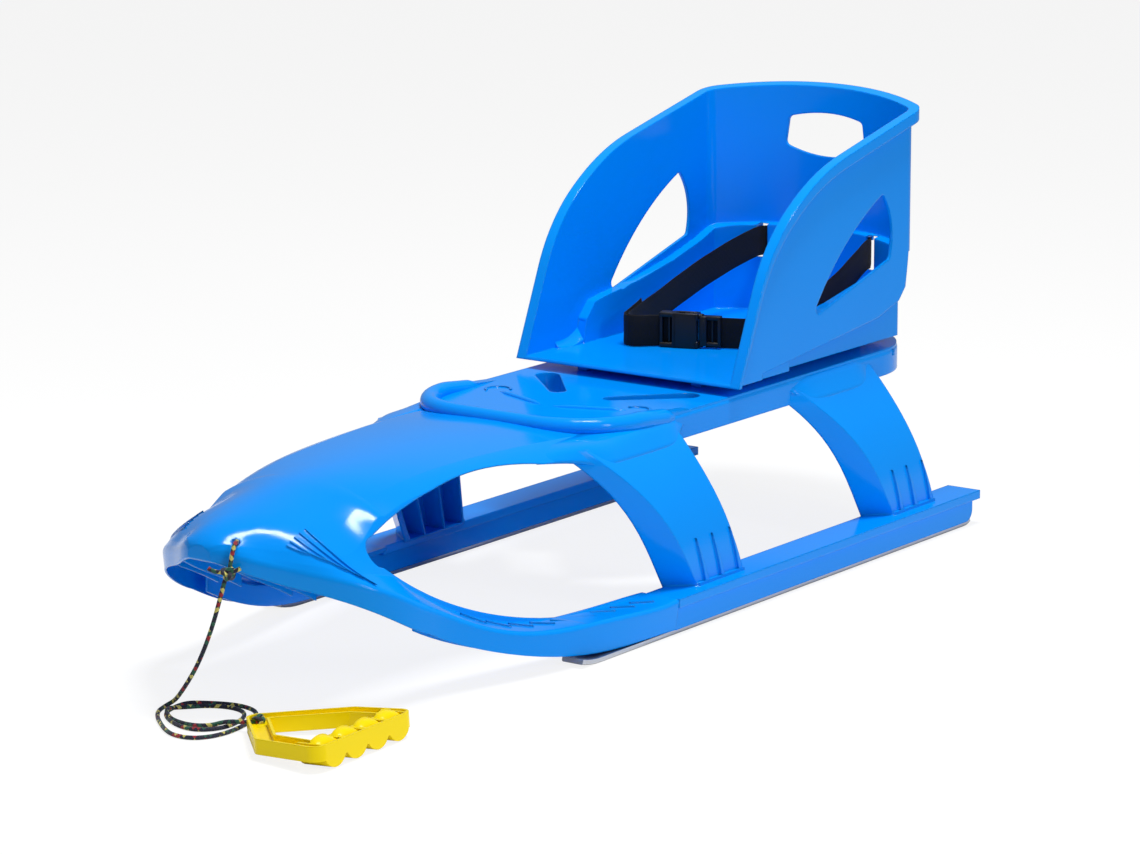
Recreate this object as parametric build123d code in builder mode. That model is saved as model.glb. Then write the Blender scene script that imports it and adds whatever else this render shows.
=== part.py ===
# Plastic snow sled with a lift-off child seat, a lap belt, two steel runner strips
# and a pull rope with a hand grip.
# Millimetres. X across (left side +), Y along (nose -, tail +), Z up, floor at 0.
import os
from math import acos, asin, atan2, cos, degrees, pi, radians, sin, tan

from build123d import *

# Overall places along the sled
tail_y = 523.5            # rear end of the deck
runner_end_y = 503.5      # rear end of the two runners
bow_start_y = -56.5       # where the straight runners end and the bow begins

# Runner channel, left side
runner_outer_x = 200.0
runner_width = 39.5
runner_top_z = 36.5
runner_lip = 9.0          # height of the edge of the top plate
runner_step = 4.5         # how far the outer wall stands in under the plate
runner_inner_step = 7.5   # the same on the inner side
runner_tail_step = 8.0    # overhang of the plate past the walls at the tail
runner_wall = 3.0

# Steel strip under each runner
strip_width = 24.0
strip_thick = 5.0
strip_front_y = -176.0    # where the strip leaves the floor, front
strip_rear_y = 483.5      # where it leaves the floor, rear
strip_front_reach = 31.0
strip_front_rise = 4.2
strip_rear_reach = 12.0
strip_rear_rise = 3.0

# Bow: nose, bonnet and the two rails that sweep down into the runners
shell_wall = 3.5
ridge_round = 5.0         # how far the ridge's round reaches down and in
relief = 1.4              # how far ribs and flutes stand proud of the skin
nose_rib_xs = [30.0, 58.0]    # upright ribs inside the nose, on both sides
nose_rib_thick = 2.4
nose_rib_length = 82.0
# side view of the raised pleats on the bonnet's flank: top y and z, bottom y and z
pleat_lines = [
    (-478.2, 168.0, -460.0, 146.0), (-471.3, 168.0, -449.0, 138.0), (-463.8, 168.0, -440.0, 130.0),
    (-456.0, 168.0, -432.0, 123.0), (-447.7, 168.0, -425.0, 117.0),
]
pleat_width = 2.2
pleat_bow = 5.0           # sideways bow of each pleat
# raised foot grips on top of the rails
grip_rib_count = 9
grip_rib_front_y = -300.0
grip_rib_pitch = 27.0
grip_rib_width = 3.0
grip_rib_angle = 38.0
# columns: ahead of bow_start_y, low x and z of the rail's outer wall, ridge x and z of the
# rail's top plate, inner x and z of that plate, edge x and z of the bonnet, crown z, and
# how full the bonnet's shoulders are (0 for a plain arc, 1 for a flat crown)
bow_sections = [
    (0.0, 195.5, 5.4, 200.0, 36.5, 160.5, 36.5, 124.0, 168.0, 192.0, 1.0),
    (70.0, 192.0, 5.8, 196.0, 36.5, 156.5, 36.5, 118.0, 174.0, 194.5, 1.0),
    (140.0, 184.5, 9.8, 187.5, 39.0, 148.5, 39.5, 107.0, 179.0, 195.5, 0.9),
    (215.0, 167.0, 24.0, 170.5, 46.0, 132.0, 52.0, 98.0, 180.0, 195.0, 0.7),
    (285.0, 146.0, 48.0, 149.0, 72.0, 117.5, 85.0, 93.0, 173.0, 193.0, 0.3),
    (315.0, 142.0, 62.0, 144.0, 86.0, 114.0, 103.0, 92.0, 165.0, 191.0, 0.1),
    (340.0, 138.5, 73.5, 140.0, 98.5, 112.0, 118.0, 92.0, 155.5, 188.0, 0.0),
    (372.0, 124.0, 92.0, 126.0, 114.0, 109.0, 126.0, 94.0, 141.5, 182.5, 0.0),
    (400.0, 98.5, 107.0, 101.0, 124.0, 93.0, 134.0, 82.0, 145.0, 177.5, 0.0),
    (430.0, 62.0, 121.0, 63.0, 136.0, 57.0, 143.0, 49.0, 151.0, 172.0, 0.0),
    (452.0, 36.0, 133.0, 36.0, 145.0, 32.0, 151.0, 27.0, 156.5, 165.5, 0.0),
    (467.0, 13.0, 143.0, 13.0, 147.0, 12.0, 150.0, 9.5, 152.5, 156.0, 0.0),
]
# the hollow's own last section, one wall thickness short of the tip
bow_tip_row = (463.5, 18.0, 140.7, 18.0, 146.7, 16.5, 150.2, 13.5, 153.4, 158.2, 0.0)
shoulder_shares = [0.93, 0.78]  # places on a shoulder, as shares of the edge's x
shoulder_power = 6        # how tight the full shoulders turn down
bow_halves = [(0, 5), (5, 11)]   # rows of the rear and of the front half, which meet at one row
opening_front_ahead = 351.0   # front end of the side openings

# Deck
deck_half_width = 126.0
deck_front_y = -88.5
deck_front_radius = 82.0
deck_rear_radius = 98.0
deck_top_z = 191.0
deck_skirt_z = 164.0
deck_wall = 3.5
deck_edge_radius = 6.0
rim_width = 12.0
rim_height = 8.5
rim_round = 5.0
# slot-shaped hand holes, mirrored: centre and radius of the rear and of the front end
hand_hole_ends = [(-86.0, 121.0, 12.5), (-33.0, 66.0, 8.5)]
hand_hole_collar = 3.0
mark_centre = (-85.0, 36.0)
mark_radius = 14.0
deck_rib_depth = 6.0
rim_fade_y = 70.0         # where the front rim has run out

# Legs, left side. columns: height, inner x, outer x, lean of the front and of the rear edge
leg_rows = [
    (runner_top_z - 2, 158.0, 184.0, 0.0, 0.0),
    (75.0, 154.0, 180.0, -21.0, -10.0),
    (110.0, 148.0, 171.0, -42.0, -21.0),
    (140.0, 139.0, 158.0, -66.0, -30.0),
    (182.0, 108.0, 125.0, -105.0, -33.0),
]
leg_foot_length = 98.0
leg_rear_ys = [73.5, 432.5]   # rear edge of each foot
leg_bevel = 22.0
leg_wall = 3.2
leg_rib = 2.6
leg_rib_shares = [0.35, 0.68]
flute_shares = [0.34, 0.62, 0.93]   # places of the flutes along the foot
flute_width = 7.0
flute_height = 46.0
flute_proud = 2.4
plinth_height = 4.0
plinth_reach = 2.0

# Seat: outer face of its U-shaped wall in plan, and its side view
seat_half_width = 129.5
seat_back_y = 514.0
seat_back_radius = 230.0
seat_corner_radius = 18.0
seat_front_y = 134.0
seat_wall = 3.5
seat_gap = 0.3            # between the rest ribs and the deck
pan_top_z = 203.5
pan_thick = 3.5
wing_line = [(seat_front_y, 193.0), (196.0, 338.0), (285.0, 398.0), (530.0, 453.0)]
wing_radii = [175.0, 260.0]
flange_width = 8.0        # outward roll along the top of the wings and the back
flange_thick = 3.0
flange_drop = 12.0
window_apex = (415.5, 358.5)
window_front = (280.5, 246.0)
window_rear = (430.5, 288.0)
window_corner = 6.0
rest_x = 70.0
rest_width = 12.0
rest_length = 300.0
rest_y = 310.0
# tub: the seat's inner wall, a step in from the wings, up to a swept edge
tub_step = 11.5           # from the outer face of the wing to the outer face of the tub
tub_wall = 3.0
tub_edge = [(225.5, 206.0), (230.5, 229.0), (245.5, 245.0), (262.5, 248.0), (326.5, 256.0)]
tub_edge += [(389.5, 268.0), (442.5, 282.0), (476.0, 294.5), (500.0, 298.0), (530.0, 298.0)]
# lower edge of the wings and of the back's outer skin
skirt_edge = [(191.5, 206.0), (409.5, 229.0), (449.5, 241.0), (462.0, 254.0), (468.0, 290.5), (540.0, 290.5)]
slot_x = 69.0
slot_width = 12.5
slot_height = 36.0
slot_z = 279.0
# hand hole in the back: half width and height of its upper and lower corners, heights of its bows
back_hole_top = (46.0, 414.0)
back_hole_low = (50.0, 384.0)
back_hole_bows = (420.0, 373.0)
back_hole_corner = 6.0

# Belt
belt_width = 28.0
belt_thick = 1.8

# Rope hole in the left flank of the nose
rope_hole_point = (27.0, -504.0, 158.5)
rope_hole_axis = (0.54, -0.42, 0.73)
rope_hole_r = 4.0

# Rope, coil and grip
rope_d = 4.0
knot_r = 7.5
knot_centre = (31.5, -521.5, 134.0)
coil_centre = (15.0, -542.5)
coil_outer = 52.0
coil_inner = 36.0
coil_height = 8.4
grip_height = 14.0
grip_bar = 20.0
grip_corner = 12.0
grip_wall = 2.6
grip_web_z = 4.5          # underside of the web between the grip's two walls
finger_count = 4
finger_r = 16.5
finger_drop = 8.5         # how far the finger lobes hang below the rim
# corners in plan, from the left tip round over the rear
grip_corners = [(66.0, -541.0), (142.0, -480.0), (201.0, -467.0), (207.0, -612.0), (132.0, -607.0)]

os.makedirs("parts", exist_ok=True)


def across(y):
    """Plane across the sled at y: its x is X and its y is Z."""
    return Plane.XZ.offset(-y)


def bow_outline(row, inset, drop):
    """One cross-section of the bow, from rail to rail over the bonnet, with a rounded ridge."""
    ahead, low_x, low_z, ridge_x, ridge_z, inner_x, inner_z, edge_x, edge_z, crown_z, full = row
    low = Vector(low_x - inset, low_z - drop)
    ridge = Vector(ridge_x - inset, ridge_z - inset)
    inner = Vector(inner_x - inset, inner_z - inset)
    edge = Vector(edge_x - inset, edge_z - inset / 2)
    below = ridge + (low - ridge).normalized() * min(ridge_round, 0.35 * (low - ridge).length)
    beside = ridge + (inner - ridge).normalized() * min(ridge_round, 0.35 * (inner - ridge).length)
    middle = (below + beside) / 4 + ridge / 2
    crown = crown_z - inset
    shoulder = []
    for share in shoulder_shares:
        fall = (1 - full) * share**2 + full * share**shoulder_power
        shoulder.append((share * edge.X, crown - (crown - edge.Y) * fall))
    for side in (1, -1):
        points = [(side * point.X, point.Y) for point in (low, below, middle, beside, inner, edge)]
        Line(points[0], points[1])
        ThreePointArc(points[1], points[2], points[3])
        Polyline(points[3], points[4], points[5])
        (mid_x, mid_z), (top_x, top_z) = shoulder
        ThreePointArc(points[5], (side * mid_x, mid_z), (side * top_x, top_z))
    ThreePointArc(shoulder[1], (0, crown), (-shoulder[1][0], shoulder[1][1]))
    Line((-low.X, low.Y), (low.X, low.Y))


# Bonnet, nose and rails, as one hollow moulding
with BuildPart() as bow:
    for first, last in bow_halves:
        for row in bow_sections[first : last + 1]:
            with BuildSketch(across(bow_start_y - row[0])):
                with BuildLine():
                    bow_outline(row, 0, 0)
                make_face()
        loft()

# Pleats on the flanks and foot grips on the rails: slabs cut to a slightly larger bow
with BuildPart() as bow_relief:
    for side in (1, -1):
        with BuildSketch(Plane.YZ.offset(60 if side > 0 else -180)):
            for top_y, top_z, low_y, low_z in pleat_lines:
                lean = atan2(low_y - top_y, top_z - low_z)
                mid_y = (top_y + low_y) / 2 - pleat_bow * cos(lean)
                mid_z = (top_z + low_z) / 2 - pleat_bow * sin(lean)
                with BuildLine():
                    half = pleat_width / 2
                    ThreePointArc((top_y, top_z), (mid_y - half, mid_z), (low_y, low_z))
                    ThreePointArc((low_y, low_z), (mid_y + half, mid_z), (top_y, top_z))
                make_face()
        extrude(amount=120)
        for i in range(grip_rib_count):
            grip_y = grip_rib_front_y + i * grip_rib_pitch
            share = (grip_y - grip_rib_front_y) / (bow_start_y - grip_rib_front_y)
            grip_x = side * (137 + 41 * min(1, share) ** 0.7)
            with BuildSketch(Plane.XY.offset(20)):
                with Locations((grip_x, grip_y)):
                    Rectangle(grip_rib_width, 24, rotation=side * -grip_rib_angle)
            extrude(amount=90)

with BuildPart() as bow_skin:
    for first, last in bow_halves:
        for row in bow_sections[first : last + 1]:
            with BuildSketch(across(bow_start_y - row[0])):
                with BuildLine():
                    bow_outline(row, -relief, 0)
                make_face()
        loft()
    add(bow_relief.part, mode=Mode.INTERSECT)

with BuildPart() as bow_hollow:
    for first, last in bow_halves:
        rows = bow_sections[first : last + 1]
        for row in rows[:-1] + [bow_tip_row] if last == len(bow_sections) - 1 else rows:
            extra = 2.0 if row is bow_sections[0] else 0.0
            with BuildSketch(across(bow_start_y - row[0] + extra)):
                with BuildLine():
                    bow_outline(row, shell_wall, 14)
                make_face()
        loft()

# Upright ribs that stiffen the open nose
with BuildPart() as nose_ribs:
    with BuildSketch(Plane.XY.offset(90)):
        for rib_x in nose_rib_xs:
            with Locations((rib_x, -tail_y + 10 + nose_rib_length / 2), (-rib_x, -tail_y + 10 + nose_rib_length / 2)):
                Rectangle(nose_rib_thick, nose_rib_length)
    extrude(amount=110)
    add(bow.part, mode=Mode.INTERSECT)

# Side openings between bonnet, rail and front leg, seen from the side as one outline
opening_nose_y = bow_start_y - opening_front_ahead
with BuildPart() as side_openings:
    with BuildSketch(Plane.YZ.offset(60)) as opening_sketch:
        with BuildLine():
            rear_low = (bow_start_y + 5, runner_top_z + 0.2)
            rear_high = (bow_start_y + 5, 168)
            Line(rear_high, rear_low)
            Line(rear_low, (bow_start_y - 130, 38.5))
            ThreePointArc((bow_start_y - 130, 38.5), (bow_start_y - 240, 68), (opening_nose_y + 12, 124))
            ThreePointArc((opening_nose_y + 12, 124), (opening_nose_y, 137), (opening_nose_y + 12, 151))
            ThreePointArc((opening_nose_y + 12, 151), (bow_start_y - 240, 179), (bow_start_y - 100, 176))
            Line((bow_start_y - 100, 176), rear_high)
        make_face()
    extrude(amount=150)
    mirror(about=Plane.YZ)

# Inner wall of each rail, which carries on the runner's inner wall
with BuildPart() as rail_wall:
    for row in bow_sections[:6]:
        ahead, low_x, low_z, ridge_x, ridge_z, inner_x, inner_z = row[:7]
        wall_x = inner_x + runner_inner_step
        with BuildSketch(across(bow_start_y - ahead)):
            with BuildLine():
                Polyline(
                    (wall_x, low_z),
                    (wall_x + runner_wall, low_z),
                    (wall_x + runner_wall, ridge_z - 1),
                    (wall_x, ridge_z - 1),
                    close=True,
                )
            make_face()
    loft()
    mirror(about=Plane.YZ)

# Straight runner channel, left side
stem_outer_x = runner_outer_x - runner_step
stem_inner_x = runner_outer_x - runner_width + runner_inner_step
stem_mid_x = (stem_outer_x + stem_inner_x) / 2
runner_length = runner_end_y - bow_start_y
stem_end_y = runner_end_y - runner_tail_step
with BuildPart() as runner:
    with BuildSketch(across(runner_end_y)):
        with Locations((runner_outer_x - runner_width / 2, runner_top_z - runner_lip / 2)):
            Rectangle(runner_width, runner_lip)
    extrude(amount=runner_length)
    with BuildSketch(Plane.YZ.offset(stem_inner_x)):
        with BuildLine():
            corner = 12.0
            Line((bow_start_y, runner_top_z - 4), (bow_start_y, strip_thick))
            Line((bow_start_y, strip_thick), (stem_end_y - corner, strip_thick))
            ThreePointArc(
                (stem_end_y - corner, strip_thick),
                (stem_end_y - corner * 0.293, strip_thick + corner * 0.293),
                (stem_end_y, strip_thick + corner),
            )
            Line((stem_end_y, strip_thick + corner), (stem_end_y, runner_top_z - 4))
            Line((stem_end_y, runner_top_z - 4), (bow_start_y, runner_top_z - 4))
        make_face()
    extrude(amount=stem_outer_x - stem_inner_x)
    with BuildSketch(across(stem_end_y - runner_wall)):
        with Locations((stem_mid_x, (runner_top_z - runner_wall) / 2)):
            Rectangle(stem_outer_x - stem_inner_x - 2 * runner_wall, runner_top_z - runner_wall)
    extrude(amount=stem_end_y - runner_wall - bow_start_y + 1, mode=Mode.SUBTRACT)
    mirror(about=Plane.YZ)


def leg_outline(row, rear_y, low_x, high_x, gap):
    """Cross-section of a leg at one height, with gap taken off its front, rear and outside."""
    height, inner_x, outer_x, front_lean, rear_lean = row
    front = rear_y - leg_foot_length + front_lean
    rear = rear_y + rear_lean
    Polyline(
        (low_x, front + gap),
        (high_x - gap, front + leg_bevel + gap / 2),
        (high_x - gap, rear - gap),
        (low_x, rear - gap),
        close=True,
    )


with BuildPart() as legs:
    for rear_y in leg_rear_ys:
        for row in leg_rows:
            with BuildSketch(Plane.XY.offset(row[0])):
                with BuildLine():
                    leg_outline(row, rear_y, row[1], row[2], 0)
                make_face()
        loft()
    mirror(about=Plane.YZ)

# Pointed flutes on the outside of each foot, and the low plinth it stands on
with BuildPart() as leg_trim:
    for rear_y in leg_rear_ys:
        for height, inner_x, outer_x, front_lean, rear_lean in leg_rows[:3]:
            with BuildSketch(Plane.XY.offset(height)):
                with BuildLine():
                    grown = (height, inner_x, outer_x + flute_proud, front_lean, rear_lean)
                    leg_outline(grown, rear_y, inner_x, outer_x + flute_proud, 0)
                make_face()
        loft()
    with BuildPart(mode=Mode.INTERSECT):
        for rear_y in leg_rear_ys:
            foot_front = rear_y - leg_foot_length
            with BuildSketch(Plane.YZ.offset(150)):
                for share in flute_shares:
                    base_y = foot_front + leg_foot_length * share
                    with BuildLine():
                        Polyline(
                            (base_y, runner_top_z - 1),
                            (base_y + flute_width, runner_top_z - 1),
                            (base_y + flute_width - 16, runner_top_z + flute_height),
                            close=True,
                        )
                    make_face()
            extrude(amount=50)
    for rear_y in leg_rear_ys:
        with BuildSketch(Plane.XY.offset(runner_top_z - 1)):
            with BuildLine():
                foot = leg_rows[0]
                leg_outline(foot, rear_y, foot[1], foot[2] + plinth_reach, -plinth_reach / 2)
            make_face()
        extrude(amount=plinth_height)
    mirror(about=Plane.YZ)

with BuildPart() as leg_hollows:
    for rear_y in leg_rear_ys:
        for row in leg_rows:
            lift = runner_top_z - row[0] if row is leg_rows[0] else 0
            with BuildSketch(Plane.XY.offset(row[0] + lift)):
                with BuildLine():
                    leg_outline(row, rear_y, row[1] - 8, row[2], leg_wall)
                make_face()
        loft()
    mirror(about=Plane.YZ)

with BuildPart() as leg_ribs:
    for rear_y in leg_rear_ys:
        for share in leg_rib_shares:
            for height, inner_x, outer_x, front_lean, rear_lean in leg_rows:
                front = rear_y - leg_foot_length + front_lean
                rear = rear_y + rear_lean
                rib_y = front + (rear - front) * share
                with BuildSketch(Plane.XY.offset(height)):
                    with Locations(((inner_x + outer_x) / 2 - 0.5, rib_y)):
                        Rectangle(outer_x - inner_x - 2, leg_rib)
            loft()
    mirror(about=Plane.YZ)


def deck_outline(inset):
    """Plan of the deck, drawn in by inset all round."""
    half = deck_half_width - inset
    front = deck_front_y + inset
    rear = tail_y - inset
    front_r = deck_front_radius - inset
    rear_r = deck_rear_radius - inset
    k = 0.293
    Line((half, front + front_r), (half, rear - rear_r))
    ThreePointArc((half, rear - rear_r), (half - k * rear_r, rear - k * rear_r), (half - rear_r, rear))
    Line((half - rear_r, rear), (rear_r - half, rear))
    ThreePointArc((rear_r - half, rear), (k * rear_r - half, rear - k * rear_r), (-half, rear - rear_r))
    Line((-half, rear - rear_r), (-half, front + front_r))
    ThreePointArc((-half, front + front_r), (k * front_r - half, front + k * front_r), (front_r - half, front))
    Line((front_r - half, front), (half - front_r, front))
    ThreePointArc((half - front_r, front), (half - k * front_r, front + k * front_r), (half, front + front_r))


with BuildPart() as deck_block:
    with BuildSketch(Plane.XY.offset(deck_skirt_z)):
        with BuildLine():
            deck_outline(0)
        make_face()
    extrude(amount=deck_top_z - deck_skirt_z)
    fillet(deck_block.faces().sort_by(Axis.Z)[-1].edges(), deck_edge_radius)
    with BuildSketch(Plane.XY.offset(deck_top_z - deck_edge_radius)) as rim_sketch:
        with BuildLine():
            deck_outline(1.0)
        make_face()
        with BuildLine():
            deck_outline(1.0 + rim_width)
        make_face(mode=Mode.SUBTRACT)
    extrude(amount=deck_edge_radius + rim_height)
    fillet(deck_block.faces().sort_by(Axis.Z)[-1].edges(), rim_round)
    with BuildSketch(Plane.XY.offset(deck_top_z)):
        for side in (1, -1):
            with Locations((side * mark_centre[0], mark_centre[1])):
                Circle(mark_radius)
                Circle(mark_radius - 2.5, mode=Mode.SUBTRACT)
                with Locations((side * 8, -10)):
                    Rectangle(2 * mark_radius, 2 * mark_radius, mode=Mode.SUBTRACT)
    extrude(amount=1.2)
    with BuildSketch(Plane.YZ.offset(-deck_half_width - 10)):
        with BuildLine():
            Polyline(
                (rim_fade_y - 110, deck_top_z + rim_height + 0.5),
                (rim_fade_y, deck_top_z),
                (tail_y + 10, deck_top_z),
                (tail_y + 10, deck_top_z + 20),
                (rim_fade_y - 110, deck_top_z + 20),
                close=True,
            )
        make_face()
    extrude(amount=2 * deck_half_width + 20, mode=Mode.SUBTRACT)

with BuildPart() as deck_hollow:
    with BuildSketch(Plane.XY.offset(deck_skirt_z - 2)):
        with BuildLine():
            deck_outline(deck_wall)
        make_face()
    extrude(amount=deck_top_z - deck_wall - deck_skirt_z + 2)

with BuildPart() as deck_ribs:
    with BuildSketch(Plane.XY.offset(deck_top_z - deck_wall - deck_rib_depth)):
        for rib_x in (-60, 60):
            with Locations((rib_x, (deck_front_y + tail_y) / 2)):
                Rectangle(2.6, tail_y - deck_front_y - 30)
        for rib_y in (0, 90, 180, 270, 360, 450):
            with Locations((0, rib_y)):
                Rectangle(2 * deck_half_width - 4, 2.6)
    extrude(amount=deck_rib_depth + 0.5)


def hand_hole_outline(grow):
    """Teardrop hand hole of the right half, drawn out by grow."""
    (rear_x, rear_y, rear_r), (front_x, front_y, front_r) = hand_hole_ends
    along = Vector(front_x - rear_x, front_y - rear_y)
    turn = acos((rear_r - front_r) / along.length)
    heading = atan2(along.Y, along.X)
    points = []
    for centre_x, centre_y, radius in hand_hole_ends:
        for way in (turn, -turn):
            reach = radius + grow
            points.append((centre_x + reach * cos(heading + way), centre_y + reach * sin(heading + way)))
    rear_end = (rear_x - (rear_r + grow) * cos(heading), rear_y - (rear_r + grow) * sin(heading))
    front_end = (front_x + (front_r + grow) * cos(heading), front_y + (front_r + grow) * sin(heading))
    ThreePointArc(points[1], rear_end, points[0])
    Line(points[0], points[2])
    ThreePointArc(points[2], front_end, points[3])
    Line(points[3], points[1])


# Hand holes and the collars round them, under the deck
with BuildPart() as hand_holes:
    with BuildSketch(Plane.XY.offset(deck_skirt_z - 10)):
        with BuildLine():
            hand_hole_outline(0)
        make_face()
    extrude(amount=60)
    mirror(about=Plane.YZ)
with BuildPart() as hand_collars:
    with BuildSketch(Plane.XY.offset(deck_skirt_z + 4)):
        with BuildLine():
            hand_hole_outline(hand_hole_collar)
        make_face()
    extrude(amount=deck_top_z - deck_skirt_z - 6)
    mirror(about=Plane.YZ)


# The whole blue moulding
with BuildPart() as sled_body:
    add(bow.part)
    add(bow_skin.part)
    add(bow_hollow.part, mode=Mode.SUBTRACT)
    add(nose_ribs.part)
    add(side_openings.part, mode=Mode.SUBTRACT)
    add(rail_wall.part)
    add(deck_block.part, mode=Mode.SUBTRACT)
    with BuildSketch(Plane.XY.offset(80)):
        with Locations((0, deck_front_y + 100)):
            Rectangle(400, 140)
    extrude(amount=200, mode=Mode.SUBTRACT)
    add(runner.part)
    add(legs.part)
    add(leg_trim.part)
    add(leg_hollows.part, mode=Mode.SUBTRACT)
    add(leg_ribs.part)
    add(deck_hollow.part, mode=Mode.SUBTRACT)
    add(deck_block.part)
    add(deck_hollow.part, mode=Mode.SUBTRACT)
    add(deck_ribs.part)
    add(hand_collars.part)
    add(hand_holes.part, mode=Mode.SUBTRACT)
    # Hole for the rope
    with BuildSketch(Plane(rope_hole_point, z_dir=rope_hole_axis).offset(8)):
        Circle(rope_hole_r)
    extrude(amount=-20, mode=Mode.SUBTRACT)
sled_body.part.label = "sled_body"
export_step(sled_body.part, "parts/sled_body.step")

# Steel strips
with BuildPart() as strip:
    with BuildSketch(Plane.YZ.offset(stem_mid_x - strip_width / 2)):
        with BuildLine():
            ends = []
            for start_y, ahead, rise in (
                (strip_front_y, -strip_front_reach, strip_front_rise),
                (strip_rear_y, strip_rear_reach, strip_rear_rise),
            ):
                turn = 2 * atan2(rise, abs(ahead))
                way = 1 if ahead > 0 else -1
                low = (start_y + ahead, rise)
                high = (low[0] - way * strip_thick * sin(turn), low[1] + strip_thick * cos(turn))
                TangentArc((start_y, 0), low, tangent=(way, 0))
                TangentArc((start_y, strip_thick), high, tangent=(way, 0))
                Line(low, high)
            Line((strip_front_y, 0), (strip_rear_y, 0))
            Line((strip_front_y, strip_thick), (strip_rear_y, strip_thick))
        make_face()
    extrude(amount=strip_width)
    fillet(strip.faces().sort_by(Axis.Z)[0].edges().filter_by(Axis.Y), 1.8)
strip.part.label = "runner_strip_left"
export_step(strip.part, "parts/runner_strip_left.step")
with BuildPart() as strip_right:
    add(mirror(strip.part, about=Plane.YZ))
strip_right.part.label = "runner_strip_right"
export_step(strip_right.part, "parts/runner_strip_right.step")


def seat_plan(grow):
    """Plan of the seat's outer wall, drawn out by grow: straight sides and a bowed back."""
    half = seat_half_width + grow
    back_y = seat_back_y + grow
    big = seat_back_radius + grow
    small = seat_corner_radius + grow
    tilt = asin((half - small) / (big - small))
    corner_y = back_y - big + (big - small) * cos(tilt)
    middle = (pi / 2 + tilt) / 2
    meet = (big * sin(tilt), back_y - big + big * cos(tilt))
    round_mid = (half - small + small * sin(middle), corner_y + small * cos(middle))
    front_y = seat_front_y - 40
    Line((half, front_y), (half, corner_y))
    ThreePointArc((half, corner_y), round_mid, meet)
    ThreePointArc(meet, (0, back_y), (-meet[0], meet[1]))
    ThreePointArc((-meet[0], meet[1]), (-round_mid[0], round_mid[1]), (-half, corner_y))
    Line((-half, corner_y), (-half, front_y))
    Line((-half, front_y), (half, front_y))


def wing_view(lower):
    """Side view below the wing line, with the line set down by lower."""
    start_y, start_z = wing_line[0]
    end_y, end_z = wing_line[-1]
    points = [(y, z - lower) for y, z in wing_line]
    FilletPolyline(*points, radius=wing_radii)
    Polyline((end_y, end_z - lower), (end_y, start_z - lower), (start_y, start_z - lower))


seat_height = wing_line[-1][1] - wing_line[0][1] + 20
seat_under_z = pan_top_z - pan_thick

# Seat: a one-piece shell of pan, bowed back and two wings
with BuildPart() as seat_shell:
    with BuildSketch(Plane.XY.offset(seat_under_z)):
        with BuildLine():
            seat_plan(0)
        make_face()
    extrude(amount=seat_height)
    with BuildSketch(Plane.XY.offset(pan_top_z)):
        with BuildLine():
            seat_plan(-seat_wall)
        make_face()
        with Locations((0, seat_front_y - 40)):
            Rectangle(2 * (seat_half_width - seat_wall), 20)
    extrude(amount=seat_height, mode=Mode.SUBTRACT)
    with BuildSketch(Plane.YZ.offset(-seat_half_width - 10)):
        with BuildLine():
            wing_view(0)
        make_face()
    extrude(amount=2 * seat_half_width + 20, mode=Mode.INTERSECT)

# Rolled flange: a thin top strip and its turned-down outer lip
with BuildPart() as flange:
    with BuildSketch(Plane.XY.offset(seat_under_z)):
        with BuildLine():
            seat_plan(flange_width)
        make_face()
        with BuildLine():
            seat_plan(-1)
        make_face(mode=Mode.SUBTRACT)
    extrude(amount=seat_height)
    with BuildSketch(Plane.YZ.offset(-seat_half_width - 20)):
        with BuildLine():
            wing_view(0)
        make_face()
    extrude(amount=2 * seat_half_width + 40, mode=Mode.INTERSECT)
    # Under the top skin only the outer lip stays, and it is flange_drop deep
    for lower, grow in ((flange_thick, flange_width - flange_thick), (flange_drop, flange_width + 1)):
        with BuildPart(mode=Mode.PRIVATE) as below:
            with BuildSketch(Plane.YZ.offset(-seat_half_width - 20)):
                with BuildLine():
                    wing_view(lower)
                make_face()
            extrude(amount=2 * seat_half_width + 40)
            with BuildSketch(Plane.XY.offset(seat_under_z - 50)):
                with BuildLine():
                    seat_plan(grow)
                make_face()
            extrude(amount=seat_height + 50, mode=Mode.INTERSECT)
        add(below.part, mode=Mode.SUBTRACT)


def side_slab_outline(edge, lower, floor_z):
    """Side view of everything under an edge that is set down by lower."""
    points = [(y, z - lower) for y, z in edge]
    Polyline(*points)
    Polyline(points[-1], (points[-1][0], floor_z), (points[0][0], floor_z), points[0])


# Tub: a step inside the wings and the back, open from below between the two walls
with BuildPart() as tub:
    with BuildSketch(Plane.XY.offset(seat_under_z)):
        with BuildLine():
            seat_plan(-seat_wall / 2)
        make_face()
        with BuildLine():
            seat_plan(-tub_step - tub_wall)
        make_face(mode=Mode.SUBTRACT)
    extrude(amount=seat_height)
    with BuildSketch(Plane.YZ.offset(-seat_half_width - 20)):
        with BuildLine():
            side_slab_outline(tub_edge, 0, seat_under_z)
        make_face()
    extrude(amount=2 * seat_half_width + 40, mode=Mode.INTERSECT)

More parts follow.
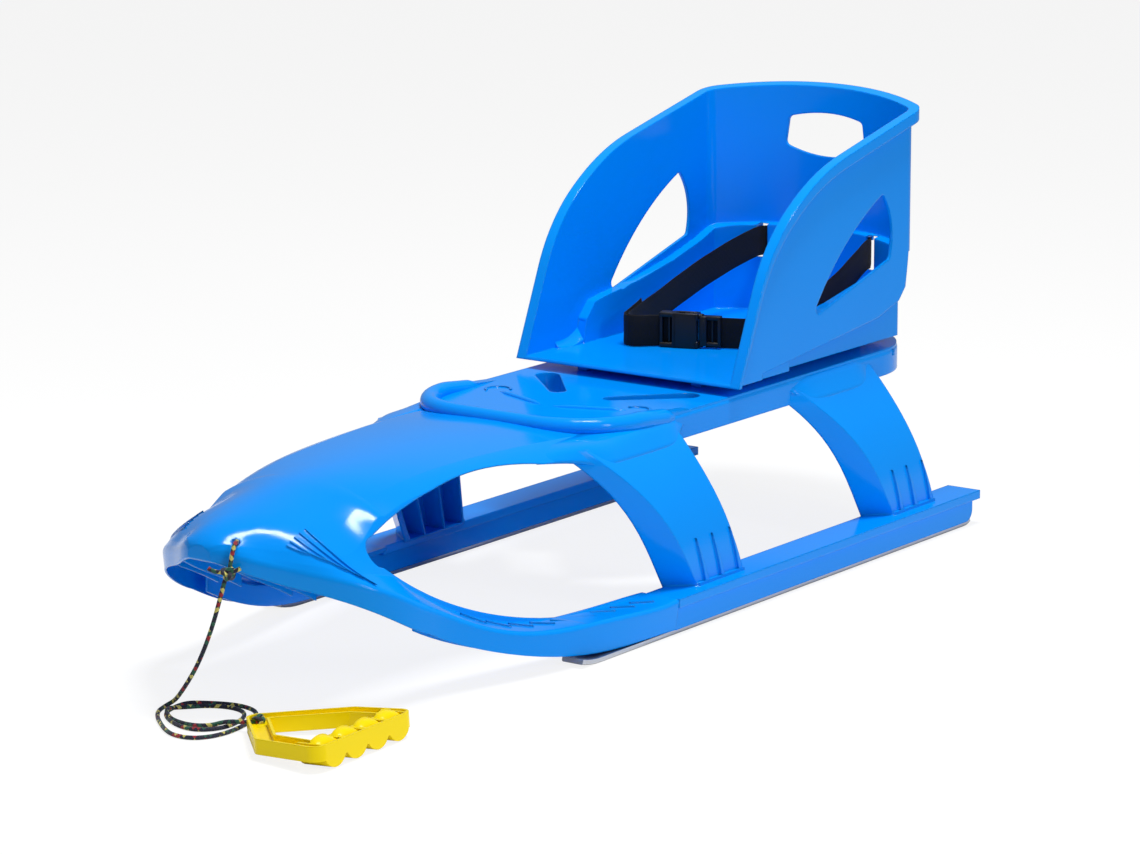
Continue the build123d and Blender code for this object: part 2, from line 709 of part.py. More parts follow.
# What is cut from below: the space between tub and wings, and the skins below the skirt's edge
with BuildPart() as under_tub:
    with BuildSketch(Plane.XY.offset(seat_under_z - 10)):
        with BuildLine():
            seat_plan(-seat_wall)
        make_face()
        with BuildLine():
            seat_plan(-tub_step)
        make_face(mode=Mode.SUBTRACT)
    extrude(amount=seat_height)
    with BuildSketch(Plane.YZ.offset(-seat_half_width - 20)):
        with BuildLine():
            hollow_edge = [(tub_edge[0][0] + tub_wall, tub_edge[0][1])] + tub_edge[1:]
            side_slab_outline(hollow_edge, tub_wall, seat_under_z - 10)
        make_face()
    extrude(amount=2 * seat_half_width + 40, mode=Mode.INTERSECT)
with BuildPart() as under_skirt:
    with BuildSketch(Plane.XY.offset(seat_under_z - 10)):
        with BuildLine():
            seat_plan(20)
        make_face()
        with BuildLine():
            seat_plan(-tub_step)
        make_face(mode=Mode.SUBTRACT)
    extrude(amount=seat_height)
    with BuildSketch(Plane.YZ.offset(-seat_half_width - 30)):
        with BuildLine():
            side_slab_outline(skirt_edge, 0, seat_under_z - 10)
        make_face()
    extrude(amount=2 * seat_half_width + 60, mode=Mode.INTERSECT)

with BuildPart() as seat_whole:
    add(seat_shell.part)
    add(tub.part)
    add(under_tub.part, mode=Mode.SUBTRACT)
    add(under_skirt.part, mode=Mode.SUBTRACT)
    add(flange.part)
    # Sail-shaped window in each wing
    with BuildSketch(Plane.YZ.offset(-seat_half_width - 20)):
        with BuildLine():
            ThreePointArc(window_apex, (337.5, 309.5), window_front)
            Line(window_front, window_rear)
            ThreePointArc(window_rear, (434.5, 316), window_apex)
        make_face()
        fillet(vertices(), window_corner)
    extrude(amount=2 * seat_half_width + 40, mode=Mode.SUBTRACT)
    # Hand hole and belt slots through the back
    with BuildSketch(across(tail_y + 10)):
        with BuildLine():
            top_x, top_z = back_hole_top
            low_x, low_z = back_hole_low
            Line((-low_x, low_z), (-top_x, top_z))
            ThreePointArc((-top_x, top_z), (0, back_hole_bows[0]), (top_x, top_z))
            Line((top_x, top_z), (low_x, low_z))
            ThreePointArc((low_x, low_z), (0, back_hole_bows[1]), (-low_x, low_z))
        make_face()
        fillet(vertices(), back_hole_corner)
        with Locations((slot_x, slot_z), (-slot_x, slot_z)):
            Rectangle(slot_width, slot_height)
    extrude(amount=90, mode=Mode.SUBTRACT)
    # Two rest ribs under the pan, which stand on the deck
    with BuildSketch(Plane.XY.offset(deck_top_z + seat_gap)):
        with Locations((rest_x, rest_y), (-rest_x, rest_y)):
            Rectangle(rest_width, rest_length)
    extrude(amount=seat_under_z - deck_top_z - seat_gap)
seat_whole.part.label = "seat_shell"
export_step(seat_whole.part, "parts/seat_shell.step")

# Lap belt: straps on edge from the slots to the buckle, one webbing behind the back
belt_routes = {
    "belt_right": [
        (-69.0, 484.0, 279.0), (-71.0, 469.0, 278.0), (-76.0, 430.0, 267.0), (-80.0, 360.0, 250.0),
        (-76.0, 290.0, 229.0), (-66.0, 248.0, 220.0), (-57.0, 243.0, 219.0), (-49.0, 250.0, 219.0),
        (-43.0, 259.0, 219.0),
    ],
    "belt_left": [
        (69.0, 484.0, 279.0), (71.0, 469.0, 278.0), (78.0, 430.0, 264.0), (82.0, 360.0, 241.0),
        (78.0, 326.0, 228.0), (60.0, 303.0, 220.0), (30.0, 288.0, 219.0),
    ],
}


def strap_planes(route):
    """Planes across a strap at each point of its route, with their y upright."""
    points = [Vector(*point) for point in route]
    last = len(points) - 1
    planes = []
    for i, point in enumerate(points):
        way = (points[min(i + 1, last)] - points[max(i - 1, 0)]).normalized()
        side = way.cross(Vector(0, 0, 1)).normalized()
        planes.append(Plane(point, x_dir=side, z_dir=way))
    return planes


for name, route in belt_routes.items():
    side = 1 if route[0][0] > 0 else -1
    with BuildPart() as belt:
        for plane in strap_planes(route):
            with BuildSketch(plane):
                Rectangle(belt_thick, belt_width)
        loft(ruled=True)
        with BuildSketch(Plane.XY.offset(slot_z - belt_width / 2)):
            with BuildLine():
                seat_plan(belt_thick + seat_gap - tub_step)
            make_face()
            with BuildLine():
                seat_plan(seat_gap - tub_step)
            make_face(mode=Mode.SUBTRACT)
            with Locations((side * (slot_x + belt_thick) / 2, seat_back_y)):
                Rectangle(slot_x + belt_thick, 60, mode=Mode.INTERSECT)
        extrude(amount=belt_width)
        with BuildSketch(Plane.XY.offset(slot_z - belt_width / 2)):
            with Locations((side * slot_x, 488)):
                Rectangle(belt_thick, 13)
        extrude(amount=belt_width)
    belt.part.label = name
    export_step(belt.part, f"parts/{name}.step")

# Side-release buckle: housing and tongue on one line
buckle_axis = Vector(74.0, 28.0, 0).normalized()
buckle_start = Vector(-42.5, 259.5, 219.0)
buckle_plane = Plane(buckle_start, x_dir=Vector(0, 0, 1).cross(buckle_axis), z_dir=buckle_axis)
housing_length = 40.0
tongue_length = 34.0
with BuildPart() as buckle_housing:
    with BuildSketch(buckle_plane):
        RectangleRounded(14, 30, 4)
    extrude(amount=housing_length)
with BuildPart() as buckle_tongue:
    with BuildSketch(buckle_plane.offset(housing_length)):
        RectangleRounded(10, 26, 3)
    extrude(amount=tongue_length)


def corner_radii(points):
    """Radius at each inner point: 0.45 of the shorter run over the tangent of half the turn."""
    radii = []
    for before, here, after in zip(points, points[1:], points[2:]):
        run_in = Vector(*here) - Vector(*before)
        run_out = Vector(*after) - Vector(*here)
        turn = run_in.get_angle(run_out)
        radii.append(0.45 * min(run_in.length, run_out.length) / tan(radians(turn) / 2))
    return radii


# Rope: round the lip of the nose through the hole, down to the floor, and on to the grip
rope_routes = {
    "rope_loop": [
        (32.3, -519.5, 138.0), (33.5, -516.5, 155.5), (31.3, -507.3, 162.2), (24.0, -501.7, 152.4),
        (21.5, -500.5, 137.0), (25.5, -507.0, 123.0), (30.0, -517.5, 129.5),
    ],
    "rope_hanging": [
        (29.5, -523.0, 128.0), (26.0, -527.5, 108.0), (21.5, -531.0, 88.0), (14.5, -534.0, 67.0),
        (5.5, -536.5, 46.5), (-5.0, -540.5, 28.0), (-15.5, -547.0, 14.0), (-22.0, -558.0, 7.0),
    ],
    "rope_end": [(58.0, -556.0, 5.0), (67.0, -548.0, 7.2), (79.0, -540.0, 7.5)],
}
ropes = {}
for name, route in rope_routes.items():
    route_radii = corner_radii(route)
    with BuildPart() as rope:
        with BuildLine():
            rope_line = FilletPolyline(*route, radius=route_radii)
        with BuildSketch(Plane(rope_line @ 0, z_dir=rope_line % 0)):
            Circle(rope_d / 2)
        sweep(path=rope_line)
    filled = rope.part.volume / (rope_line.length * pi * rope_d**2 / 4)
    print(name, "radii", [round(radius, 1) for radius in route_radii])
    print(name, "length", round(rope_line.length, 1), "filled", round(filled, 4))
    ropes[name] = rope.part
    rope.part.label = name
    export_step(rope.part, f"parts/{name}.step")

with BuildPart() as rope_knot:
    with Locations(knot_centre):
        Sphere(knot_r)
    add(ropes["rope_loop"], mode=Mode.SUBTRACT)
    add(ropes["rope_hanging"], mode=Mode.SUBTRACT)

with BuildPart() as rope_coil:
    with BuildSketch(Plane.XY):
        with Locations(coil_centre):
            Circle(coil_outer)
            Circle(coil_inner, mode=Mode.SUBTRACT)
    extrude(amount=coil_height)
    fillet(rope_coil.edges(), 1.9)
    add(ropes["rope_hanging"], mode=Mode.SUBTRACT)
    add(ropes["rope_end"], mode=Mode.SUBTRACT)

# Hand grip: a five-sided frame of open channel with finger lobes under one bar
with BuildSketch() as grip_ring:
    with BuildLine():
        Polyline(*grip_corners, close=True)
    make_face()
    fillet(vertices(), grip_corner)
    offset(amount=-grip_bar, mode=Mode.SUBTRACT)
with BuildSketch() as grip_channel:
    with BuildLine():
        Polyline(*grip_corners, close=True)
    make_face()
    fillet(vertices(), grip_corner)
    offset(amount=-grip_wall)
    with BuildSketch(mode=Mode.SUBTRACT):
        with BuildLine():
            Polyline(*grip_corners, close=True)
        make_face()
        fillet(vertices(), grip_corner)
        offset(amount=grip_wall - grip_bar)

bar_start, bar_end = Vector(*grip_corners[2]), Vector(*grip_corners[3])
bar_way = (bar_end - bar_start).normalized()
bar_in = Vector(bar_way.Y, -bar_way.X)
finger_pitch = ((bar_end - bar_start).length - grip_bar) / finger_count
finger_places = []
for i in range(finger_count):
    along = grip_bar / 2 + (i + 0.5) * finger_pitch
    place = bar_start + bar_way * along + bar_in * grip_bar / 2
    finger_places.append(Vector(place.X, place.Y, finger_r - finger_drop))

with BuildPart() as finger_lobes:
    for place in finger_places:
        with BuildSketch(Plane(place, x_dir=bar_way, z_dir=bar_in)):
            Circle(finger_r)
        extrude(amount=grip_bar, both=True)
    with BuildPart(mode=Mode.INTERSECT):
        with BuildSketch(Plane.XY.offset(-finger_drop - 1)):
            add(grip_ring.sketch)
        extrude(amount=grip_height + finger_drop + 1)
with BuildPart() as finger_pockets:
    for place in finger_places:
        with BuildSketch(Plane(place, x_dir=bar_way, z_dir=bar_in)):
            Circle(finger_r - grip_wall)
        extrude(amount=grip_bar, both=True)
    with BuildPart(mode=Mode.INTERSECT):
        with BuildSketch(Plane.XY.offset(-finger_drop - 1)):
            add(grip_channel.sketch)
        extrude(amount=grip_height + finger_drop + 2)

with BuildPart() as grip_flat:
    with BuildSketch(Plane.XY):
        add(grip_ring.sketch)
    extrude(amount=grip_height)
    with BuildSketch(Plane.XY.offset(grip_web_z + grip_wall)):
        add(grip_channel.sketch)
    extrude(amount=grip_height, mode=Mode.SUBTRACT)
    with BuildSketch(Plane.XY.offset(-1)):
        add(grip_channel.sketch)
    extrude(amount=grip_web_z + 1, mode=Mode.SUBTRACT)
    add(finger_lobes.part)
    add(finger_pockets.part, mode=Mode.SUBTRACT)

# The grip lies on its left tip and on the lobes, so it leans a little
grip_tip = Vector(*grip_corners[0])
lobe_reach = abs((bar_start - grip_tip).dot(bar_in)) - grip_bar
grip_lean = degrees(asin(finger_drop / lobe_reach))
grip_hinge = Axis(grip_tip, (bar_way.X, bar_way.Y, 0))
with BuildPart() as pull_handle:
    add(grip_flat.part.rotate(grip_hinge, grip_lean))
    add(ropes["rope_end"], mode=Mode.SUBTRACT)

for name, part in {
    "buckle_housing": buckle_housing.part,
    "buckle_tongue": buckle_tongue.part,
    "rope_knot": rope_knot.part,
    "rope_coil": rope_coil.part,
    "pull_handle": pull_handle.part,
}.items():
    part.label = name
    export_step(part, f"parts/{name}.step")
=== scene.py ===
# %% [markdown]
# Snow sled with a child seat, dressed for a product picture.
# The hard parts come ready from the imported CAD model. This script sets the camera, lays the
# pull rope, weaves the lap belt, adds the soft swellings that the plain solids lack, and then
# gives every piece its finish and lights the scene.
# Everything is in metres, with the nose towards -Y, the sled's left side at +X and Z up.

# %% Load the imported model
from math import cos, pi, radians, sin

import bmesh
import bpy
from mathutils import Matrix, Vector


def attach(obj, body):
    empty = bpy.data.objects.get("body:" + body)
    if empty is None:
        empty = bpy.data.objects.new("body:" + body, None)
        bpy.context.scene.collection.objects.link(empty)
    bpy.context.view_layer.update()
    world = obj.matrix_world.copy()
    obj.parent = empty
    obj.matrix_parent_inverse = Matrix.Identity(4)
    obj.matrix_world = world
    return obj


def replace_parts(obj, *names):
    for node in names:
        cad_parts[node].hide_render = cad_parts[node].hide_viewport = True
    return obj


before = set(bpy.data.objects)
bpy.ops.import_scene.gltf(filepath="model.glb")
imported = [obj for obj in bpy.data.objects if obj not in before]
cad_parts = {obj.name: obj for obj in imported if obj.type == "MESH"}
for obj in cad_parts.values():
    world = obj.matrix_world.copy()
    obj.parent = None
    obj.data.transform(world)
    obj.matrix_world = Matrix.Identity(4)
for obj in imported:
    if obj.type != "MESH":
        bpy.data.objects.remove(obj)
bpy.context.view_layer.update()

# %% [markdown]
# The camera stands where the photographer stood: a little over four metres away, ahead of the
# sled and to its left, and a little above it. A long lens keeps the sled's sides nearly parallel.
# A camera could be set by eye, but this one was fitted to the sled's straight edges, so its place
# and turn are plain numbers.

# %% Camera
scene = bpy.context.scene
view_azimuth, view_elevation, view_roll = 35.96, 12.42, -0.14
camera_place = (2.50549, -3.41243, 1.10135)
azimuth, elevation = radians(view_azimuth), radians(view_elevation)
away = Vector((sin(azimuth) * cos(elevation), -cos(azimuth) * cos(elevation), sin(elevation)))
camera_data = bpy.data.cameras.new("photo_camera")
camera_data.sensor_width = 36.0
camera_data.lens = 138.83
camera_data.clip_end = 50
camera = bpy.data.objects.new("photo_camera", camera_data)
scene.collection.objects.link(camera)
aim = (-away).to_track_quat("-Z", "Y").to_matrix().to_4x4()
roll = Matrix.Rotation(radians(view_roll), 4, "Z")
camera.matrix_world = Matrix.Translation(camera_place) @ aim @ roll
scene.camera = camera
print("camera", round(Vector(camera_place).length, 2), "m from the origin")

# %% [markdown]
# The rope is one soft braided line, 4 mm thick. It goes through a hole in the nose, is knotted
# to itself, hangs to the floor, lies there in loose turns and ends in a knot inside the grip.
# A real rope has no corners, so its line is a smooth NURBS curve. Its control points follow the
# CAD route down to the last part above the floor. A curve with a bevel would give a tube at once.
# A tube skinned round the plain curve takes a UV map that the braid can follow: u is the distance
# along the rope, and v goes once round it.

# %% Line and tube helpers
rope_thick = 0.004
crease_angle = radians(35)
tip_share = 0.15  # radius of a tapered tube's tip, as a share of the whole radius


def smooth_line(points, steps=8):
    """Points along a NURBS curve with these control points, read from a curve with no bevel."""
    data = bpy.data.curves.new("line", "CURVE")
    data.dimensions = "3D"
    data.resolution_u = steps
    spline = data.splines.new("NURBS")
    spline.points.add(len(points) - 1)
    for point, place in zip(spline.points, points):
        point.co = (*place, 1)
    spline.order_u = 3
    spline.use_endpoint_u = True
    holder = bpy.data.objects.new("line", data)
    mesh = bpy.data.meshes.new_from_object(holder)
    line = [vertex.co.copy() for vertex in mesh.vertices]
    bpy.data.objects.remove(holder)
    bpy.data.curves.remove(data)
    bpy.data.meshes.remove(mesh)
    return line


def length_of(line):
    """Length of a line from point to point."""
    return sum((b - a).length for a, b in zip(line, line[1:]))


def ways_of(line):
    """Direction of a line at each of its points."""
    last = len(line) - 1
    return [(line[min(i + 1, last)] - line[max(i - 1, 0)]).normalized() for i in range(last + 1)]


def as_piece(name, work, body, sharp=False):
    """A finished bmesh as an object at the origin that rides on a body."""
    bmesh.ops.recalc_face_normals(work, faces=work.faces)
    mesh = bpy.data.meshes.new(name)
    work.to_mesh(mesh)
    work.free()
    mesh.shade_smooth()
    if sharp:
        mesh.set_sharp_from_angle(angle=crease_angle)
    piece = bpy.data.objects.new(name, mesh)
    scene.collection.objects.link(piece)
    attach(piece, body)
    print(name, "on", body, "with", len(mesh.polygons), "faces")
    return piece


def skin(work, rings):
    """Quads between closed rings of vertices, and a lid on each end.

    Each ring comes with its distance along the line, which is u. Once round it, v goes to 1.
    """
    uv = work.loops.layers.uv.verify()
    count = len(rings[0][0])
    for (ring, start), (after, end) in zip(rings, rings[1:]):
        for k in range(count):
            n = (k + 1) % count
            face = work.faces.new((ring[k], ring[n], after[n], after[k]))
            corners = ((start, k), (start, k + 1), (end, k + 1), (end, k))
            for loop, (u, v) in zip(face.loops, corners):
                loop[uv].uv = (u, v / count)
    work.faces.new(rings[0][0][::-1])
    work.faces.new(rings[-1][0])


def add_tube(work, line, thick, sides=16, slim_ends=0.0):
    """A round tube along a line, led on without twist. Its ends can taper over a length."""
    rings, travelled, whole = [], 0.0, length_of(line)
    ways = ways_of(line)
    across = ways[0].orthogonal().normalized()
    for i, (place, way) in enumerate(zip(line, ways)):
        across = (across - way * across.dot(way)).normalized()
        other = way.cross(across)
        travelled += (place - line[i - 1]).length if i else 0.0
        radius = thick / 2
        if slim_ends:
            radius *= min(1.0, tip_share + min(travelled, whole - travelled) / slim_ends)
        ring = []
        for k in range(sides):
            angle = 2 * pi * k / sides
            out = across * cos(angle) + other * sin(angle)
            ring.append(work.verts.new(place + radius * out))
        rings.append((ring, travelled))
    skin(work, rings)


def rope_piece(name, lines):
    """Rope along one line or more, as one piece that rides on the sled."""
    work = bmesh.new()
    for line in lines:
        add_tube(work, line, rope_thick)
    return as_piece(name, work, "sled")


# %% [markdown]
# First comes the short loop that ties the rope to the sled, through the hole in the flank of the
# nose and under its lip, from the knot and back to it. It could be one piece with the rest of
# the rope, but it is held tight while the rest lies free, so it is a piece and a cord of its own.

# %% Loop through the nose
loop_points = [
    (0.0323, -0.5195, 0.1380), (0.0335, -0.5165, 0.1555), (0.0313, -0.5073, 0.1622),
    (0.0240, -0.5017, 0.1524), (0.0215, -0.5005, 0.1370), (0.0255, -0.5070, 0.1230),
    (0.0300, -0.5175, 0.1295),
]
loop_line = smooth_line(loop_points)
rope_loop = rope_piece("rope_through_nose", [loop_line])
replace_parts(rope_loop, "rope_loop")
print("rope through the nose", round(length_of(loop_line), 3))

# %% [markdown]
# The free run hangs from the knot, swings a little to the sled's right and lands. Its turns on
# the floor are loose: the first is the widest, the second lies inside it, and the third climbs
# over the second and then over the first to reach the grip. A rope simulation could drop it, but
# it would fall in its own way. So each turn has control points of its own, with the height of
# each crossing, and one curve through them all keeps the braid unbroken.

# %% Hanging run, turns and end
hanging_points = [
    (0.0295, -0.5230, 0.1280), (0.0260, -0.5275, 0.1080), (0.0215, -0.5310, 0.0880),
    (0.0145, -0.5340, 0.0670), (0.0055, -0.5365, 0.0465), (-0.0070, -0.5370, 0.0280),
    (-0.0215, -0.5310, 0.0140), (-0.0330, -0.5240, 0.0060),
]
first_turn = [
    (-0.0370, -0.5330, 0.0022), (-0.0315, -0.5480, 0.0021), (-0.0200, -0.5620, 0.0021),
    (-0.0040, -0.5760, 0.0021), (0.0130, -0.5890, 0.0021), (0.0300, -0.5975, 0.0021),
    (0.0480, -0.5960, 0.0021), (0.0590, -0.5840, 0.0021), (0.0635, -0.5660, 0.0021),
    (0.0625, -0.5470, 0.0021), (0.0580, -0.5260, 0.0021), (0.0510, -0.5080, 0.0021),
    (0.0380, -0.4950, 0.0021), (0.0200, -0.4905, 0.0021), (0.0030, -0.4935, 0.0021),
    (-0.0140, -0.5015, 0.0021),
]
second_turn = [
    (-0.0265, -0.5130, 0.0030), (-0.0280, -0.5290, 0.0024), (-0.0245, -0.5440, 0.0021),
    (-0.0150, -0.5560, 0.0021), (0.0000, -0.5660, 0.0021), (0.0160, -0.5730, 0.0021),
    (0.0330, -0.5740, 0.0021), (0.0450, -0.5650, 0.0021), (0.0510, -0.5510, 0.0021),
    (0.0500, -0.5340, 0.0021), (0.0440, -0.5170, 0.0021), (0.0330, -0.5045, 0.0021),
    (0.0180, -0.5000, 0.0021), (0.0030, -0.5030, 0.0021), (-0.0100, -0.5110, 0.0021),
]
third_turn = [
    (-0.0185, -0.5230, 0.0024), (-0.0225, -0.5350, 0.0040), (-0.0220, -0.5460, 0.0062),
    (-0.0155, -0.5545, 0.0050), (-0.0060, -0.5600, 0.0028), (0.0050, -0.5630, 0.0022),
    (0.0165, -0.5645, 0.0022), (0.0290, -0.5630, 0.0024), (0.0400, -0.5570, 0.0034),
    (0.0480, -0.5510, 0.0062), (0.0570, -0.5480, 0.0076), (0.0670, -0.5470, 0.0084),
    (0.0740, -0.5450, 0.0090), (0.0790, -0.5400, 0.0085),
]
free_line = smooth_line(hanging_points + first_turn + second_turn + third_turn)
rope_free = rope_piece("rope_free_run", [free_line])
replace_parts(rope_free, "rope_hanging", "rope_coil", "rope_end")
free_length = length_of(free_line)
print("free rope", round(free_length, 3))

# %% [markdown]
# The grip's finger bar isn't level along its inner edge: over each finger lobe its rim swells up
# into a low hump that runs out towards the outer wall. The grip leans on its lobes, so its rim
# rises with the distance from the tip that holds the rope. A squashed sphere would look stuck on.
# Each hump is skinned over four half rings instead, which get lower towards the outer wall.

# %% Humps over the finger lobes
bar_start, bar_end = Vector((0.201, -0.467, 0)), Vector((0.207, -0.612, 0))
bar_way = (bar_end - bar_start).normalized()
bar_in = Vector((bar_way.y, -bar_way.x, 0))
bar_width, hump_count, hump_steps = 0.020, 4, 14
rim_height, rim_overlap, grip_lean, grip_tip_x = 0.014, 0.003, 0.0722, 0.066
# Each ring: distance inwards from the outer edge, half its length, and its rise above the rim
hump_rings = [
    (0.0198, 0.0135, 0.0070), (0.0188, 0.0148, 0.0076), (0.0130, 0.0146, 0.0052),
    (0.0060, 0.0130, 0.0010),
]
hump_pitch = ((bar_end - bar_start).length - bar_width) / hump_count
hump_work = bmesh.new()
for i in range(hump_count):
    foot = bar_start + bar_way * (bar_width / 2 + (i + 0.5) * hump_pitch)
    rings = []
    for inward, half, rise in hump_rings:
        middle = foot + bar_in * inward
        rim = rim_height - rim_overlap + grip_lean * (middle.x - grip_tip_x)
        ring = []
        for k in range(hump_steps + 1):
            angle = pi * k / hump_steps
            along_bar = bar_way * (half * cos(angle))
            ring.append(middle + along_bar + Vector((0, 0, rim + rise * sin(angle))))
        rings.append(([hump_work.verts.new(p) for p in ring], inward))
    skin(hump_work, rings)
as_piece("grip_humps", hump_work, "sled")

# %% [markdown]
# Both knots are overhand knots pulled tight. The line of such a knot is a trefoil, so three
# sines give it, at a size where the crossing strands about touch. Control points set by hand
# would take far longer to look tied. The nose knot also has the rope's two cut ends sticking
# out, as in the photograph.

# %% Knots
knot_steps, knot_depth = 72, 1.15


def knot_line(centre, size, tilt):
    """An overhand knot about a centre, turned about X and then Z by tilt in degrees."""
    turn = Matrix.Rotation(radians(tilt[1]), 3, "Z") @ Matrix.Rotation(radians(tilt[0]), 3, "X")
    line = []
    for i in range(knot_steps + 1):
        t = 2 * pi * i / knot_steps
        x, y, z = sin(t) + 2 * sin(2 * t), cos(t) - 2 * cos(2 * t), -knot_depth * sin(3 * t)
        line.append(Vector(centre) + turn @ (Vector((x, y, z)) * size))
    return line


nose_knot_centre, grip_knot_centre = Vector((0.0315, -0.5215, 0.1340)), (0.0800, -0.5390, 0.0110)
left_end = [(0, 0, 0), (-0.005, -0.004, 0.001), (-0.010, -0.0085, 0.002), (-0.0135, -0.011, 0.005)]
right_end = [(0, 0, 0), (0.005, 0.003, 0.0015), (0.0095, 0.0065, 0.0045)]
cut_ends = [
    smooth_line([nose_knot_centre + Vector(step) for step in steps])
    for steps in (left_end, right_end)
]
nose_knot = rope_piece("rope_nose_knot", [knot_line(nose_knot_centre, 0.0018, (62, 30)), *cut_ends])
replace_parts(nose_knot, "rope_knot")
grip_knot = rope_piece("rope_grip_knot", [knot_line(grip_knot_centre, 0.0016, (20, 70))])
length_of(loop_line)

# %% [markdown]
# The lap belt is 32 mm webbing that stands on edge. Each half starts behind the seat's back, at
# the middle, bends through its slot and runs down to the buckle. A third piece is the free tail,
# which turns back beside the far half. A flat plane with a Solidify modifier would have square
# borders. Here the strap is a closed band: one row of points goes up its inner face, one comes
# down its outer face, and the borders are pinched thin. It never goes lower than the pan.

# %% Belt
belt_width, belt_thick = 0.032, 0.0016
belt_wave, wave_fast, wave_slow = 0.0004, 95, 31
border_from, border_share = 0.95, 0.35
belt_rows = [-1, -0.96, -0.75, -0.4, 0, 0.4, 0.75, 0.96, 1]
pan_top, pan_gap, slot_height = 0.2035, 0.001, 0.279
back_radius, back_centre_y = 0.2197, 0.284


def behind_back(x):
    """A point of the webbing behind the tub's bowed back."""
    return (x, back_centre_y + (back_radius**2 - x**2) ** 0.5, slot_height)


def strap_piece(name, points, node=None):
    """Webbing on edge along a smooth line, a little wavy. It can stand for a CAD node."""
    lowest = pan_top + belt_width / 2 + pan_gap
    line = smooth_line([(x, y, max(z, lowest)) for x, y, z in points], steps=12)
    work = bmesh.new()
    rings, travelled = [], 0.0
    for i, (place, way) in enumerate(zip(line, ways_of(line))):
        side = way.cross(Vector((0, 0, 1))).normalized()
        up = side.cross(way)
        travelled += (place - line[i - 1]).length if i else 0.0
        ripple = belt_wave * sin(travelled * wave_fast) * sin(travelled * wave_slow)
        ring = []
        for face in (1, -1):
            for height in belt_rows[::face]:
                thick = belt_thick / 2 * (1 if abs(height) < border_from else border_share)
                out = side * (face * thick + ripple * height**2)
                ring.append(work.verts.new(place + out + up * (height * belt_width / 2)))
        rings.append((ring, travelled))
    skin(work, rings)
    strap = as_piece(name, work, "seat")
    if node:
        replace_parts(strap, node)
    print(name, "length", round(length_of(line), 3))


far_points = [
    behind_back(0.0), behind_back(-0.025), behind_back(-0.05),
    (-0.0655, 0.4945, 0.2790), (-0.0695, 0.4890, 0.2790), (-0.0700, 0.4780, 0.2785),
    (-0.0740, 0.4500, 0.2725), (-0.0790, 0.4050, 0.2610), (-0.0825, 0.3500, 0.2440),
    (-0.0820, 0.3000, 0.2300), (-0.0790, 0.2620, 0.2220), (-0.0745, 0.2455, 0.2195),
    (-0.0665, 0.2415, 0.2190), (-0.0580, 0.2465, 0.2190), (-0.0480, 0.2565, 0.2190),
    (-0.0400, 0.2605, 0.2190), (-0.0285, 0.2648, 0.2190),
]
near_points = [
    behind_back(0.0), behind_back(0.025), behind_back(0.05),
    (0.0655, 0.4945, 0.2790), (0.0695, 0.4890, 0.2790), (0.0700, 0.4780, 0.2785),
    (0.0760, 0.4480, 0.2700), (0.0810, 0.4000, 0.2540), (0.0820, 0.3600, 0.2410),
    (0.0780, 0.3280, 0.2290), (0.0640, 0.3060, 0.2210), (0.0450, 0.2940, 0.2190),
    (0.0250, 0.2858, 0.2190), (0.0160, 0.2820, 0.2190), (0.0025, 0.2766, 0.2190),
]
tail_points = [
    (-0.0400, 0.2585, 0.2185), (-0.0470, 0.2535, 0.2185), (-0.0570, 0.2430, 0.2187),
    (-0.0665, 0.2378, 0.2190), (-0.0775, 0.2420, 0.2195), (-0.0820, 0.2580, 0.2220),
    (-0.0840, 0.2760, 0.2265), (-0.0860, 0.2900, 0.2300),
]
strap_piece("strap_far", far_points, "belt_right")
strap_piece("strap_near", near_points, "belt_left")
strap_piece("strap_tail", tail_points)

# %% [markdown]
# The side-release buckle is two mouldings. The housing has a frame with a bar for the webbing
# and a sleeve with an opening at top and bottom, where the prongs are squeezed. The tongue has
# a shoulder, two prongs that show in those openings and its own webbing frame. A block would
# need many cuts. Each moulding is joined from bars with rounded edges instead, laid out in the
# buckle's own frame: along it, across it and up.

# %% Buckle
buckle_start = Vector((-0.0425, 0.2595, 0.2222))
buckle_stretch = Matrix.Diagonal((1.05, 1.1, 1.22, 1))
buckle_way = Vector((0.074, 0.028, 0)).normalized()
buckle_side = Vector((0, 0, 1)).cross(buckle_way)
buckle_frame = Matrix((buckle_way, buckle_side, Vector((0, 0, 1)))).transposed().to_4x4()
buckle_frame.translation = buckle_start


def bars_piece(name, bars, node):
    """Rounded bars in the buckle's frame, each as low corner, high corner and radius, in mm."""
    work = bmesh.new()
    for low, high, radius in bars:
        middle = (Vector(low) + Vector(high)) / 2000
        size = (Vector(high) - Vector(low)) / 1000
        seated = buckle_frame @ buckle_stretch @ Matrix.Translation(middle)
        place = seated @ Matrix.Diagonal((*size, 1))
        made = bmesh.ops.create_cube(work, size=1.0, matrix=place)["verts"]
        edges = {edge for vert in made for edge in vert.link_edges}
        bmesh.ops.bevel(work, geom=list(edges), offset=radius / 1000, affect="EDGES", segments=3,
                        profile=0.5, material=-1)
    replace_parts(as_piece(name, work, "seat", sharp=True), node)


